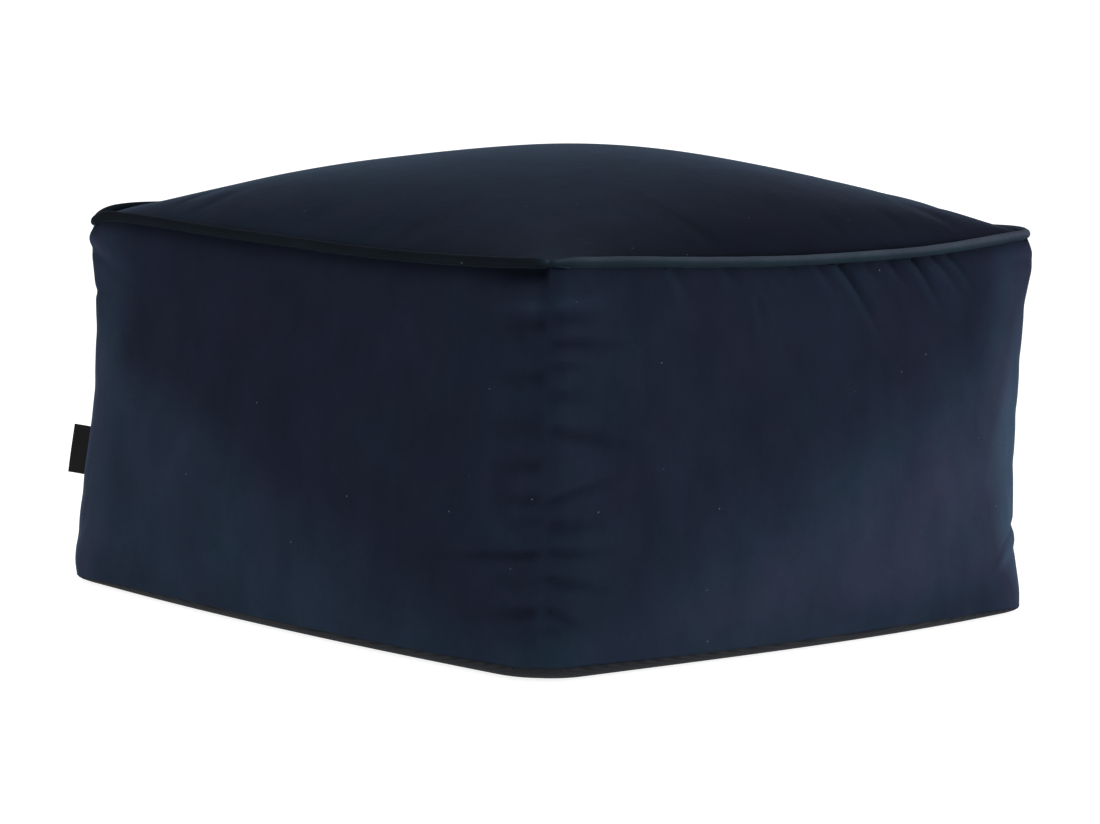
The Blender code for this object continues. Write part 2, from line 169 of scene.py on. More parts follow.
# %% Let the corners settle
def settle(points):
    """Leans the corners as the filling has settled, and what is between them in proportion."""
    height = points[..., 2] / PIPING_HEIGHT
    across = np.clip(points[..., 0] / (SIDE / 2), -1, 1)
    deep = np.clip(points[..., 1] / (SIDE / 2), -1, 1)
    moved = points.copy()
    for number, (side_x, side_y) in enumerate(CORNER_SIDES):
        weight = (1 + side_x * across) * (1 + side_y * deep) / 4
        lean = read(LEANS, number + 1, height) * math.sqrt(0.5)
        slip = np.clip(1 - height, 0, None)
        moved[..., 0] += (side_x * lean + CORNER_SLIPS[number][0] * slip) * weight
        moved[..., 1] += (side_y * lean + CORNER_SLIPS[number][1] * slip) * weight
        moved[..., 2] += CORNER_HEIGHTS[number] * weight**2 * height
    return moved


# %% [markdown]
# In plan a side is a bowed line with half a rounded corner at each end. Its points are given by
# steps, each a turn round the corner or a share of the straight part. Every height then has the
# same number of points, one above the other, and rows of them can be joined into a mesh.

# %% Outline of one side
def plan(face, columns, share, out=0.0, flare=0.0):
    """Points of one side's outline, where share is its height in the wall.

    With them come each point's share along the side, where the seam is, and half the side.
    """
    corner_out, middle_out = read(WALL, 1, share), read(WALL, 2, share)
    radius = read(WALL, 3, share)
    half = SIDE / 2 + corner_out + radius * CORNER_CUT
    bow = middle_out - corner_out - radius * CORNER_CUT
    half, radius = half + out - flare, radius + out + flare
    turn, straight, sign = columns
    outward = half - radius + radius * np.cos(turn)
    along = sign * ((half - radius) * (1 - straight) + radius * np.sin(turn))
    share_along = along / half
    drift = read(WALL, 4, share) * DRIFT[face]
    outward = outward + bow * FULLNESS[face] * (1 - share_along**2) * (1 + drift * share_along)
    flat = outward[..., None] * OUTWARD[face] + along[..., None] * ONWARD[face]
    return flat, share_along, half - radius * CORNER_CUT, half


# %% [markdown]
# The top seam hangs between the corners and sags, as any line of cloth does. At the left corner it
# droops once more, right beside the corner, where little of the filling reaches. That droop is a
# bell curve, which stays where it is put.

# %% The sagging top seam
DROOP_ALONG, DROOP_AROUND = 0.019, 0.021


def seam_height(face, share_along):
    """Height of the top seam at shares along a side, from -1 to 1."""
    height = PIPING_HEIGHT - read(SAGS, face + 1, (1 + share_along) / 2)
    for corner, end in ((face, -1), ((face + 1) % 4, 1)):
        away = (1 - end * share_along) * SIDE / 2
        height = height - CORNER_DROOPS[corner] * np.exp(-((away / DROOP_ALONG) ** 2))
    return height


front_seam = [round(1000 * float(seam_height(0, place)), 1) for place in (-1, 0, 1)]
print("front top seam at its left end, middle and near end, mm:", front_seam)


# %% [markdown]
# Gathers are narrow and lie by the corner seams, so the columns of the grid crowd there. The right
# side has pleats in its middle too and gets more columns, spread more evenly. The back has the
# columns of the front and the left side those of the right, so that the grid of the top panel fits
# between all four.

# %% Columns of the grid
def side_columns(rounded, straight, crowding):
    """The columns of one side: those round its corners, and those between, closer at the seams."""
    last = 2 * (rounded + straight)
    step = np.arange(last + 1)
    from_seam = np.minimum(step, last - step)
    turn = np.radians(45) * np.clip(1 - from_seam / rounded, 0, 1)
    share = np.clip((from_seam - rounded) / straight, 0, 1) ** crowding
    return turn, share, np.where(step < last // 2, -1.0, 1.0)


def all_columns(rounded, along_front, along_right):
    """The columns of the front, right, back and left sides."""
    front = side_columns(rounded, along_front, 1.35)
    right_side = side_columns(rounded, along_right, 1.05)
    return front, right_side, front, right_side


# %% [markdown]
# The corner seams are shorter than the velvet sewn into them, so the velvet gathers: short troughs
# run from the seam into the sides. Under the piping the fullness of the sides makes pleats that
# hang down and lean towards the right corner. Each one is a row here, read off the picture.

# %% Gathers at the corner seams and pleats under the piping
# height at the seam, reach, depth, fall along its run, width
NEAR_ON_FRONT = (
    (0.2785, 0.085, 0.0040, 0.09, 0.0060),
    (0.2575, 0.055, -0.0014, 0.10, 0.0045),
    (0.2447, 0.050, 0.0034, 0.11, 0.0048),
    (0.2090, 0.062, 0.0024, 0.10, 0.0040),
    (0.1760, 0.075, 0.0018, 0.10, 0.0085),
    (0.1486, 0.055, 0.0026, 0.10, 0.0043),
    (0.1257, 0.050, 0.0026, 0.10, 0.0040),
    (0.1105, 0.035, 0.0013, 0.10, 0.0036),
    (0.0878, 0.115, 0.0036, 0.12, 0.0034),
    (0.0700, 0.050, 0.0012, 0.12, 0.0060),
    (0.0487, 0.058, 0.0038, 0.13, 0.0046),
    (0.0330, 0.050, 0.0012, 0.10, 0.0090),
)
NEAR_ON_RIGHT = (
    (0.2597, 0.062, -0.0016, 0.03, 0.0045),
    (0.2500, 0.045, 0.0026, 0.07, 0.0036),
    (0.2320, 0.090, 0.0030, 0.05, 0.0034),
    (0.2160, 0.040, 0.0024, 0.03, 0.0032),
    (0.1965, 0.042, 0.0024, 0.07, 0.0042),
    (0.1725, 0.100, 0.0032, 0.20, 0.0046),
    (0.1235, 0.075, 0.0028, -0.26, 0.0034),
    (0.1078, 0.060, 0.0028, 0.05, 0.0044),
    (0.0892, 0.080, 0.0028, 0.07, 0.0032),
    (0.0712, 0.068, 0.0030, 0.21, 0.0035),
    (0.0512, 0.048, 0.0034, 0.51, 0.0036),
    (0.0360, 0.025, 0.0018, 0.00, 0.0034),
)
RIGHT_ON_RIGHT = (
    (0.2650, 0.050, 0.0018, 0.05, 0.0036),
    (0.2320, 0.036, 0.0010, 0.30, 0.0080),
    (0.1900, 0.034, 0.0008, 0.00, 0.0080),
    (0.1500, 0.032, 0.0009, 0.10, 0.0080),
    (0.1120, 0.034, 0.0008, 0.00, 0.0070),
    (0.0672, 0.066, 0.0024, 0.60, 0.0036),
    (0.0590, 0.056, -0.0010, 0.60, 0.0040),
    (0.0500, 0.040, 0.0010, 0.70, 0.0034),
)
LEFT_ON_FRONT = (
    (0.2700, 0.070, -0.0022, 0.46, 0.0055),
    (0.2590, 0.055, 0.0018, 0.46, 0.0040),
    (0.2255, 0.045, 0.0026, 0.00, 0.0036),
    (0.1960, 0.036, 0.0008, 0.00, 0.0090),
    (0.1520, 0.034, 0.0007, 0.00, 0.0090),
    (0.0700, 0.034, 0.0007, 0.00, 0.0090),
    (0.0380, 0.036, 0.0010, 0.10, 0.0080),
)
GATHERS = (
    (LEFT_ON_FRONT, NEAR_ON_FRONT),
    (NEAR_ON_RIGHT, RIGHT_ON_RIGHT),
    (RIGHT_ON_RIGHT, NEAR_ON_FRONT),
    (NEAR_ON_RIGHT, LEFT_ON_FRONT),
)
# distance from the side's last seam, how far below the piping it starts, length, depth, lean, width
PLEATS_RIGHT = (
    (0.101, 0.000, 0.044, 0.0026, 0.88, 0.0036),
    (0.119, 0.000, 0.042, 0.0030, 0.96, 0.0036),
    (0.140, 0.000, 0.054, 0.0042, 0.73, 0.0038),
    (0.165, 0.000, 0.032, 0.0026, 0.70, 0.0040),
    (0.190, 0.000, 0.030, 0.0016, 0.70, 0.0045),
    (0.2185, 0.000, 0.066, 0.0046, 0.71, 0.0042),
    (0.239, 0.000, 0.030, 0.0022, 0.61, 0.0045),
    (0.268, 0.000, 0.020, 0.0012, 0.50, 0.0050),
    (0.310, 0.022, 0.070, 0.0020, 0.17, 0.0036),
    (0.332, 0.000, 0.026, 0.0016, 0.45, 0.0055),
    (0.383, 0.000, 0.038, 0.0016, 0.41, 0.0060),
    (0.418, 0.055, 0.110, 0.0014, 0.00, 0.0036),
)
PLEATS_LEFT = (
    (0.110, 0.0, 0.040, 0.0026, 0.50, 0.0080),
    (0.230, 0.0, 0.046, 0.0026, 0.40, 0.0100),
)
PLEATS = ((), PLEATS_RIGHT, (), PLEATS_LEFT)
print("gathers at the near seam:", len(NEAR_ON_FRONT) + len(NEAR_ON_RIGHT))
print("pleats on the right side:", len(PLEATS_RIGHT))

# %% [markdown]
# A gather is a trough with a bell-shaped section, full at the seam and gone at the end of its
# reach. A pleat is the same, hung from the piping, with a ridge beside it, because the cloth
# pressed into a fold comes up next to it. A sculpting brush could draw them too, but numbers can be
# read and mended.

# %% Press the gathers and pleats in
SEAM_DRAW, SEAM_DRAW_WIDTH = 0.0010, 0.0034
GATHER_START, PLEAT_START = 0.005, 0.006
PLEAT_RIDGE, PLEAT_RIDGE_ASIDE = 0.55, 1.9


def relief(face, share_along, from_seam, to_last, height, below):
    """How far gathers and pleats push the velvet in, as a negative number."""
    pushed = np.zeros_like(height)
    for end, rows in enumerate(GATHERS[face]):
        near = share_along > 0 if end else share_along <= 0
        for place, reach, depth, fall, width in rows:
            across = np.exp(-(((height - place + fall * from_seam) / width) ** 2))
            fade = (0.35 + 0.65 * eased(from_seam / GATHER_START)) * (1 - eased(from_seam / reach))
            pushed -= np.where(near, depth * across * fade, 0.0)
    for place, start, length, depth, lean, width in PLEATS[face]:
        aside = (to_last - place + lean * below) / width
        across = np.exp(-(aside**2)) - PLEAT_RIDGE * np.exp(-((aside - PLEAT_RIDGE_ASIDE) ** 2))
        fade = eased((below - start) / PLEAT_START) * (1 - eased(below / length))
        pushed -= depth * across * fade
    return pushed


# %% The four sides
def wall_points(steps, shares):
    """The velvet sides as a grid of points, one row for each share, and their painted light and
    shade.
    """
    sides, painted_tones = [], []
    for face in range(4):
        share = shares[:, None] * np.ones(len(steps[face][0]))[None, :]
        _, share_along, seam_place, half = plan(face, steps[face], share)
        corner = np.where(share_along > 0, BASE_SEAM_ENDS[face][1], BASE_SEAM_ENDS[face][0])
        low = BASE_SEAM + (corner - BASE_SEAM) * np.abs(share_along) ** 3
        high = seam_height(face, share_along)
        height = low + (high - low) * share
        from_seam = np.clip(seam_place - np.abs(share_along) * half, 0, None)
        to_last = seam_place - share_along * half
        folds = relief(face, share_along, from_seam, to_last, height, high - height)
        draw = np.clip(np.sin(np.pi * np.clip(share, 0, 1)), 0, 1) ** 0.5
        pushed = folds - SEAM_DRAW * (1 - eased(from_seam / SEAM_DRAW_WIDTH)) * draw
        flat, _, _, _ = plan(face, steps[face], share, out=pushed)
        sides.append(np.concatenate([flat, height[..., None]], axis=-1)[:, :-1])
        painted_tones.append(paint_side_tones(face, share_along, share, high - height, folds)[:, :-1])
    return settle(np.concatenate(sides, axis=1)), np.concatenate(painted_tones, axis=1)


# %% [markdown]
# Light and shade are painted into the velvet's colour here. Each side is painted dark by the near
# seam and light past a slant, as the lights and the sheen leave it, so that two sides together show
# a V. The insides of gathers, and the velvet right under the piping, get painted shade. Noise can't
# place any of this, so two numbers are worked out for each vertex, and the velvet reads them: the
# painted light, and the painted shade. Distances are metres from the near seam, tones are shares,
# and all were set one by one. The front and left sides are the shaded kind, the right and back sides
# the lit kind, so the two sides that meet at a far corner have the same tone there.

# %% Painted light of a side
def shaded_pile(from_near, share):
    """The painted light of a shaded side, by distance from its near seam and share of its height."""
    slant = np.minimum(0.09 + 0.13 * share + 0.68 * share**2, 0.45)
    painted_light = 0.42 * eased((from_near - slant + 0.06) / 0.18) + 0.05 * (1 - share)
    painted_light -= 0.07 * eased((from_near - 0.08) / 0.08)
    return painted_light + 0.12 * (1 - eased(share / 0.25)) * eased((from_near - 0.05) / 0.07)


def lit_pile(from_near, share):
    """The painted light of a lit side."""
    slant = 0.06 + 0.30 * share + 0.33 * share**2
    painted_light = 0.08 + 0.48 * eased((from_near - slant + 0.09) / 0.18)
    painted_light += 0.28 * eased((from_near - slant - 0.02) / 0.20) * (0.17 + 0.83 * eased(share / 0.40))
    return painted_light + 0.08 * (1 - eased(share / 0.3)) * eased((from_near - 0.03) / 0.07)


# %% Painted light and shade on a side
def paint_side_tones(face, share_along, share, below, folds):
    """Two numbers for each point: its painted light, and its painted shade."""
    from_near = (1 - share_along if face in (0, 2) else 1 + share_along) * SIDE / 2
    shaded = face in (0, 3)
    painted_light = (shaded_pile if shaded else lit_pile)(from_near, share)
    # painted highlights at the far end, up by the piping, and by the near seam
    high_up = eased((share - 0.55) / 0.35)
    painted_light += (0.16 if shaded else 0.24) * eased((from_near - 0.42) / 0.08) * high_up
    painted_light += 0.11 * np.exp(-((from_near / 0.05) ** 2))
    # towards the bottom edge the tone is drawn to one middling value
    foot = 0.42 - 0.25 * eased((from_near - 0.25) / 0.2)
    painted_light += (foot - painted_light) * 0.8 * (1 - eased((share - 0.02) / 0.11))
    # painted sheen along the far seams: the two sides that meet there get the same tone
    mid_height = np.sqrt(np.sin(np.pi * np.clip(share, 0, 1)))
    rim_sheen_and_stroke_bump = eased((from_near - 0.432) / 0.058) * (0.7 + 0.3 * mid_height)
    rim = 1.02 - 0.38 * share if shaded else 1.15 - 0.30 * share**2
    painted_light += (rim - painted_light) * rim_sheen_and_stroke_bump
    # painted light on ridges, and painted shade in troughs and on the velvet under the piping
    painted_light += np.clip(folds / 0.005, 0, 0.30)
    shade_under_piping = np.exp(-((below / (0.0105 if shaded else 0.0045 + 0.008 * from_near)) ** 2))
    painted_shade = np.clip(-folds / 0.0075, 0, 0.50) + (0.95 if shaded else 0.85) * shade_under_piping
    return np.stack([painted_light, np.clip(painted_shade, 0, 1)], axis=-1)


# %% [markdown]
# Three pieces meet the cover along two lines: the piping in the top seam, and the base, whose edge
# turns up to a seam a few millimetres above the floor. Each line has one helper, and each piece
# moves it out or up by no more than a thickness. So the pieces fit, with no gap and no overlap.

# %% The top seam and the foot
PIPING_STAND = 0.0008
PIPING_RADIUS = 0.0037
BASE_RIM = 0.013
BASE_CLOTH = 0.002


def seam_points(steps, out, up):
    """The top seam all the way round, out of its line by out and above it by up."""
    sides = []
    for face in range(4):
        top = np.ones(len(steps[face][0]))
        flat, share_along, _, _ = plan(face, steps[face], top, out=PIPING_STAND + out)
        height = seam_height(face, share_along) + up
        sides.append(np.concatenate([flat, height[:, None]], axis=-1)[:-1])
    return settle(np.concatenate(sides))


def base_points(steps, turn, inset):
    """The turned-up rim of the base, from flat on the floor (0) to its seam (a quarter turn)."""
    sides = []
    for face in range(4):
        flare, inward = BASE_RIM * (1 - math.sin(turn)), inset * math.sin(turn)
        low = np.zeros(len(steps[face][0]))
        flat, share_along, _, _ = plan(face, steps[face], low, out=-inward, flare=flare)
        corner = np.where(share_along > 0, BASE_SEAM_ENDS[face][1], BASE_SEAM_ENDS[face][0])
        seam = BASE_SEAM + (corner - BASE_SEAM) * np.abs(share_along) ** 3
        height = seam * (1 - math.cos(turn)) + inset * math.cos(turn)
        sides.append(np.concatenate([flat, height[:, None]], axis=-1)[:-1])
    return settle(np.concatenate(sides))


# %% [markdown]
# The top panel is held by its four sewn edges and lifted by the filling. A surface between four
# edges is a Coons patch: each point is a blend of the two pairs of edges. The rise is added to it,
# steep at the seams and nearly flat in the middle, then small swells, which correct its outline as
# seen from the near corner, and a few soft folds that run in from the seams. A patch would carry
# the droop of a corner across the whole panel, so the droop is taken out of its edge and put back
# into the points beside that corner alone.

# %% Swells and folds of the top panel
# share of the way from the left corner to the right one, and how much fuller the crown is there
SWELLS = (
    (0.00, 0.0000),
    (0.10, 0.0030),
    (0.18, 0.0034),
    (0.26, 0.0008),
    (0.34, -0.0026),
    (0.42, -0.0028),
    (0.50, -0.0008),
    (0.60, 0.0007),
    (0.72, 0.0009),
    (0.82, 0.0018),
    (0.92, 0.0026),
    (1.00, 0.0000),
)
# from (u, v) to (u, v) across the top panel, depth, width
CROWN_FOLDS = (
    ((0.83, 0.330), (0.985, 0.345), 0.0011, 0.0080),
    ((0.70, 0.99), (0.745, 0.84), 0.0013, 0.0090),
    ((0.79, 0.99), (0.815, 0.83), 0.0016, 0.0080),
    ((0.88, 0.99), (0.885, 0.85), 0.0012, 0.0080),
    ((0.99, 0.87), (0.88, 0.83), 0.0012, 0.0080),
    ((0.13, 0.02), (0.17, 0.14), 0.0014, 0.0080),
    ((0.20, 0.01), (0.23, 0.12), 0.0011, 0.0080),
    ((0.01, 0.16), (0.13, 0.20), 0.0012, 0.0080),
    ((0.99, 0.60), (0.92, 0.62), 0.0008, 0.0075),
    ((0.99, 0.74), (0.91, 0.75), 0.0010, 0.0075),
    ((0.45, 0.01), (0.465, 0.09), 0.0008, 0.0080),
    ((0.66, 0.01), (0.675, 0.10), 0.0008, 0.0080),
)
print("folds of the top panel:", len(CROWN_FOLDS))


# %% Shape the top panel
def corner_droop(points):
    """How far the drooping corners pull down what lies right beside them."""
    droop = 0.0
    for (side_x, side_y), depth in zip(CORNER_SIDES, CORNER_DROOPS):
        away = np.hypot(points[..., 0] - side_x * SIDE / 2, points[..., 1] - side_y * SIDE / 2)
        droop = droop + depth * np.exp(-((away / DROOP_AROUND) ** 2))
    return droop


def crown_points(edge, across_front):
    """Points inside a ring of edge points, raised by the filling, and how deep its folds are."""
    edge = edge + corner_droop(edge)[:, None] * np.array([0, 0, 1])
    along_right = len(edge) // 2 - across_front
    around = np.concatenate([edge, edge[:1]])
    ends = np.cumsum([0, across_front, along_right, across_front, along_right])
    front, right_edge, back_edge, left = [around[ends[i] : ends[i + 1] + 1] for i in range(4)]
    back_edge, left = back_edge[::-1], left[::-1]
    u = ((front[:, 0] - front[0, 0]) / (front[-1, 0] - front[0, 0]))[:, None]
    v = ((right_edge[:, 1] - right_edge[0, 1]) / (right_edge[-1, 1] - right_edge[0, 1]))[None, :]
    s, t = u[..., None], v[..., None]
    along = front[:, None] * (1 - t) + back_edge[:, None] * t
    across = left[None, :] * (1 - s) + right_edge[None, :] * s
    front_corners = front[0] * (1 - s) + front[-1] * s
    back_corners = back_edge[0] * (1 - s) + back_edge[-1] * s
    corners = front_corners * (1 - t) + back_corners * t
    grid = along + across - corners
    to_right = u + v - 1
    full = (1 - np.abs(2 * u - 1) ** 2.1) * (1 - np.abs(2 * v - 1) ** 2.1)
    rise = CROWN_RISE * (1 + 0.10 * to_right) * np.clip(full, 0, None) ** (0.82 - 0.16 * to_right)
    to_seam = np.minimum(np.minimum(u, 1 - u), np.minimum(v, 1 - v))
    between_corners = np.exp(-(((u - v + 0.04) / 0.40) ** 2))
    rise = rise + read(SWELLS, 1, (u + v) / 2) * between_corners * eased(to_seam / 0.10)
    folds = np.zeros_like(rise)
    for start, end, depth, width in CROWN_FOLDS:
        start, end = np.array(start) * SIDE, np.array(end) * SIDE
        run = end - start
        past_x, past_y = u * SIDE - start[0], v * SIDE - start[1]
        share = np.clip((past_x * run[0] + past_y * run[1]) / (run @ run), 0, 1)
        away = np.hypot(past_x - share * run[0], past_y - share * run[1])
        bell = np.exp(-((away / width) ** 2))
        folds -= depth * bell * np.sin(np.pi * np.clip(share, 0.02, 0.98)) ** 0.7
    folds = folds * eased(to_seam / 0.012)
    grid[..., 2] += rise + folds - corner_droop(grid)
    return grid, folds


# %% [markdown]
# The cover is one closed skin: an underside, rings up the sides, a groove that holds the piping,
# and the top panel. It is built ring by ring, because then it is known which vertex is a seam and
# which is a side, both for the cloth that comes next and for the painted light and shade. The steps
# given decide how fine.

# %% The grids of the cover
GROOVE_TURNS = (270, 247.5, 225, 202.5, 180)
GAP = 0.0003


def cover_grids(steps, wall_rows):
    """The rings below the wall, its grid, the groove's rings and the crown's grid.

    With them come the painted light and shade of the wall, and how deep the crown's folds are.
    """
    inset = BASE_CLOTH + GAP
    under = [base_points(steps, math.radians(turn), inset) for turn in (0, 30, 60, 90)]
    wall, light_and_tone = wall_points(steps, np.arange(wall_rows) / wall_rows)
    clear = (PIPING_RADIUS + GAP) * 1.06
    groove = []
    for turn in GROOVE_TURNS:
        turn = math.radians(turn)
        groove.append(seam_points(steps, clear * math.cos(turn), clear * math.sin(turn)))
    crown, crown_dips = crown_points(groove[-1], len(steps[0][0]) - 1)
    return under, wall, groove, crown, light_and_tone, crown_dips


# %% From grids to a mesh
def sewn_piece(name, points, faces):
    """A smooth piece in the scene, from its points and faces."""
    mesh = bpy.data.meshes.new(name)
    mesh.from_pydata(points, [], faces)
    mesh.shade_smooth()
    made = bpy.data.objects.new(name, mesh)
    bpy.context.scene.collection.objects.link(made)
    return made


def between_rings(rings, around):
    """The faces between rings of points, where one ring follows the other."""
    faces = []
    for ring in range(rings - 1):
        low, high = ring * around, (ring + 1) * around
        for step in range(around):
            following = (step + 1) % around
            faces.append((low + step, low + following, high + following, high + step))
    return faces


def cover_mesh(name, under, wall, groove, crown):
    """A closed mesh from those grids. Its vertices run ring by ring, then over the crown."""
    rings = [*under, *wall, *groove]
    around = len(rings[0])
    across, deep = crown.shape[0] - 1, crown.shape[1] - 1
    points = np.concatenate([*rings, crown[1:across, 1:deep].reshape(-1, 3)])
    faces = [tuple(range(around - 1, -1, -1)), *between_rings(len(rings), around)]
    top, first = (len(rings) - 1) * around, len(rings) * around
    number = np.zeros((across + 1, deep + 1), int)
    inner = np.arange((across - 1) * (deep - 1)).reshape(across - 1, deep - 1)
    number[1:across, 1:deep] = first + inner
    u, v = np.arange(across + 1), np.arange(deep + 1)
    number[u, 0] = top + u
    number[across, v] = top + across + v
    number[across - u, deep] = top + across + deep + u
    number[0, deep - v] = top + (2 * across + deep + v) % around
    for a in range(across):
        for b in range(deep):
            corners = ((a, b), (a + 1, b), (a + 1, b + 1), (a, b + 1))
            faces.append(tuple(int(number[corner]) for corner in corners))
    return sewn_piece(name, points.tolist(), faces), number


# %% [markdown]
# Real fullness doesn't come from a table. The cover is blown up with Blender's cloth: pressure
# inside, no gravity, the seams held, and a little spare cloth next to the seams, where a sewer
# eases it in. What the cloth does is split in two. Its slow bulge is left out, because the outline
# is already right, and its folds are kept, no deeper than a cap, and laid over a grid of twice the
# fineness. A coarse cover is quick to simulate, and the fine one stays smooth.

# %% How the cover is filled
COARSE_COLUMNS = all_columns(3, 26, 35)
COARSE_ROWS = 50
FINE_COLUMNS = all_columns(6, 52, 70)
FOLD_CAP = 0.0035
SPARE_CLOTH = 0.055
PRESSURE = 4.0
FILLING_FRAMES = 20
BULGE_ROUNDS = 24  # rounds of averaging, after which only the bulge is left
print("columns of the front, coarse and fine:", len(COARSE_COLUMNS[0][0]), len(FINE_COLUMNS[0][0]))


# %% Blow the cover up
def blown_up(cover, held, spare):
    """The cover's points after the cloth has been blown up with its seams held."""
    for group_name, weights in (("sewn", held), ("spare", spare)):
        group = cover.vertex_groups.new(name=group_name)
        for index in np.nonzero(weights > 0.01)[0]:
            group.add([int(index)], float(weights[index]), "REPLACE")
    modifier = cover.modifiers.new("filling", "CLOTH")
    cloth = modifier.settings
    cloth.quality = 6
    cloth.mass = 0.25
    cloth.tension_stiffness = 15
    cloth.compression_stiffness = 15
    cloth.shear_stiffness = 4
    cloth.bending_stiffness = 0.4
    cloth.use_pressure = True
    cloth.uniform_pressure_force = PRESSURE
    cloth.vertex_group_mass = "sewn"
    cloth.vertex_group_shrink = "spare"
    cloth.shrink_min = 0.0
    cloth.shrink_max = -SPARE_CLOTH
    cloth.effector_weights.gravity = 0.0
    modifier.point_cache.frame_start = 1
    modifier.point_cache.frame_end = FILLING_FRAMES
    for frame_number in range(1, FILLING_FRAMES + 1):
        bpy.context.scene.frame_set(frame_number)
    filled = cover.evaluated_get(bpy.context.evaluated_depsgraph_get()).to_mesh()
    points = np.empty(len(filled.vertices) * 3)
    filled.vertices.foreach_get("co", points)
    bpy.context.scene.frame_set(1)
    return points.reshape(-1, 3)


# %% Split the folds from the bulge
def smoothed(grid, rounds, wraps):
    """A grid averaged with its neighbours. Its second axis goes round if wraps is true."""
    for _ in range(rounds):
        held = np.concatenate([grid[:1], grid, grid[-1:]])
        grid = (held[:-2] + 2 * held[1:-1] + held[2:]) / 4
        if wraps:
            grid = (np.roll(grid, 1, axis=1) + 2 * grid + np.roll(grid, -1, axis=1)) / 4
        else:
            held = np.concatenate([grid[:, :1], grid, grid[:, -1:]], axis=1)
            grid = (held[:, :-2] + 2 * held[:, 1:-1] + held[:, 2:]) / 4
    return grid


def twice_as_fine(grid, axis, wraps=False):
    """A grid with a point between each two along an axis, on a smooth curve."""
    grid = np.moveaxis(grid, axis, 0)
    if wraps:
        held = np.concatenate([grid[-1:], grid, grid[:2]])
    else:
        held = np.concatenate([2 * grid[:1] - grid[1:2], grid, 2 * grid[-1:] - grid[-2:-1]])
    between = (-held[:-3] + 9 * held[1:-2] + 9 * held[2:-1] - held[3:]) / 16
    fine = np.empty((len(grid) + len(between), *grid.shape[1:]))
    fine[0::2], fine[1::2] = grid, between
    return np.moveaxis(fine, 0, axis)


def folds_only(moved):
    """Keeps the folds of a field of movement and no more of each than the cap."""
    length = np.linalg.norm(moved, axis=-1, keepdims=True)
    return moved * (FOLD_CAP * np.tanh(length / FOLD_CAP) / np.maximum(length, 1e-9))


# %% The folds of the cloth
def cloth_folds():
    under, wall, groove, crown, _, _ = cover_grids(COARSE_COLUMNS, COARSE_ROWS)
    cover, number = cover_mesh("cover_to_fill", under, wall, groove, crown)
    count = len(cover.data.vertices)
    around = len(under[0])
    counts = [len(COARSE_COLUMNS[side][0]) - 1 for side in range(4)]
    from_seam = np.concatenate([np.minimum(np.arange(n), n - np.arange(n)) / n for n in counts])
    rings = len(under) + len(wall) + len(groove)
    # the underside, the groove and the corner seams are held, and the spare cloth lies beside them
    held, spare = np.zeros(count), np.zeros(count)
    for ring in range(rings):
        place = slice(ring * around, (ring + 1) * around)
        in_wall = ring - len(under)
        if not 0 < in_wall < COARSE_ROWS:
            held[place] = 1.0
            continue
        held[place] = np.where(from_seam == 0, 1.0, 0.0)
        below = (COARSE_ROWS - in_wall) / COARSE_ROWS
        by_corner, by_piping = 1 - eased((from_seam - 0.02) / 0.22), 1 - eased(below / 0.30)
        spare[place] = np.maximum(by_corner, 0.75 * by_piping)
    start = np.array([vertex.co for vertex in cover.data.vertices])
    moved = blown_up(cover, held, spare) - start
    wall_start = len(under) * around
    wall_moved = moved[wall_start : wall_start + COARSE_ROWS * around]
    wall_moved = wall_moved.reshape(COARSE_ROWS, around, 3)
    crown_moved = moved[number.ravel()].reshape(*number.shape, 3)
    print("cloth moved at most, mm:", round(1000 * float(np.linalg.norm(moved, axis=1).max()), 1))
    wall_folds = wall_moved - smoothed(wall_moved, BULGE_ROUNDS, True)
    crown_folds = crown_moved - smoothed(crown_moved, BULGE_ROUNDS, False)
    bpy.data.objects.remove(cover)
    wall_folds = np.concatenate([wall_folds, np.zeros((1, around, 3))])
    fine_wall = twice_as_fine(twice_as_fine(wall_folds, 1, True), 0)[: 2 * COARSE_ROWS]
    fine_crown = twice_as_fine(twice_as_fine(crown_folds, 0), 1)
    return folds_only(fine_wall), folds_only(fine_crown)


wall_folds, crown_folds = cloth_folds()
deepest = [round(1000 * float(np.abs(part).max()), 2) for part in (wall_folds, crown_folds)]
print("deepest folds of the sides and the top, mm:", deepest)

# %% [markdown]
# Now the cover that shows: the fine grid, with the folds added. A subdivision surface over the
# coarse cover would be shorter to write, but would round off the gathers, which are only a few
# millimetres wide.

# %% Make the velvet cover
under, wall, groove, crown, wall_painted, crown_dips = cover_grids(FINE_COLUMNS, 2 * COARSE_ROWS)
wall = wall + wall_folds
crown = crown + crown_folds
velvet_cover, crown_number = cover_mesh("pouf_velvet", under, wall, groove, crown)
print("velvet faces:", len(velvet_cover.data.polygons))

# %% [markdown]
# The top panel gets the most painted light over its middle and left half, and is painted darker
# towards the right corner. Beside the seams, above all round the near corner, it gets painted shade.
# The groove and the underside hardly show and are simply painted dark, as shade.

# %% Painted light and shade on top
UNDERSIDE_SHADE, GROOVE_SHADE = 0.6, 0.55
PAINTED_LIGHT_STRENGTH = 0.8  # leaves room in the ramp of navies for the clouds that the velvet adds


def write_painted_tones(piece, painted_light, painted_shade):
    """Writes the painted light and shade on each vertex, for the velvet to read."""
    for name, values in (("painted_light", PAINTED_LIGHT_STRENGTH * painted_light), ("painted_shade", painted_shade)):
        written_values = piece.data.attributes.new(name, "FLOAT", "POINT").data
        written_values.foreach_set("value", values.astype(np.float32))


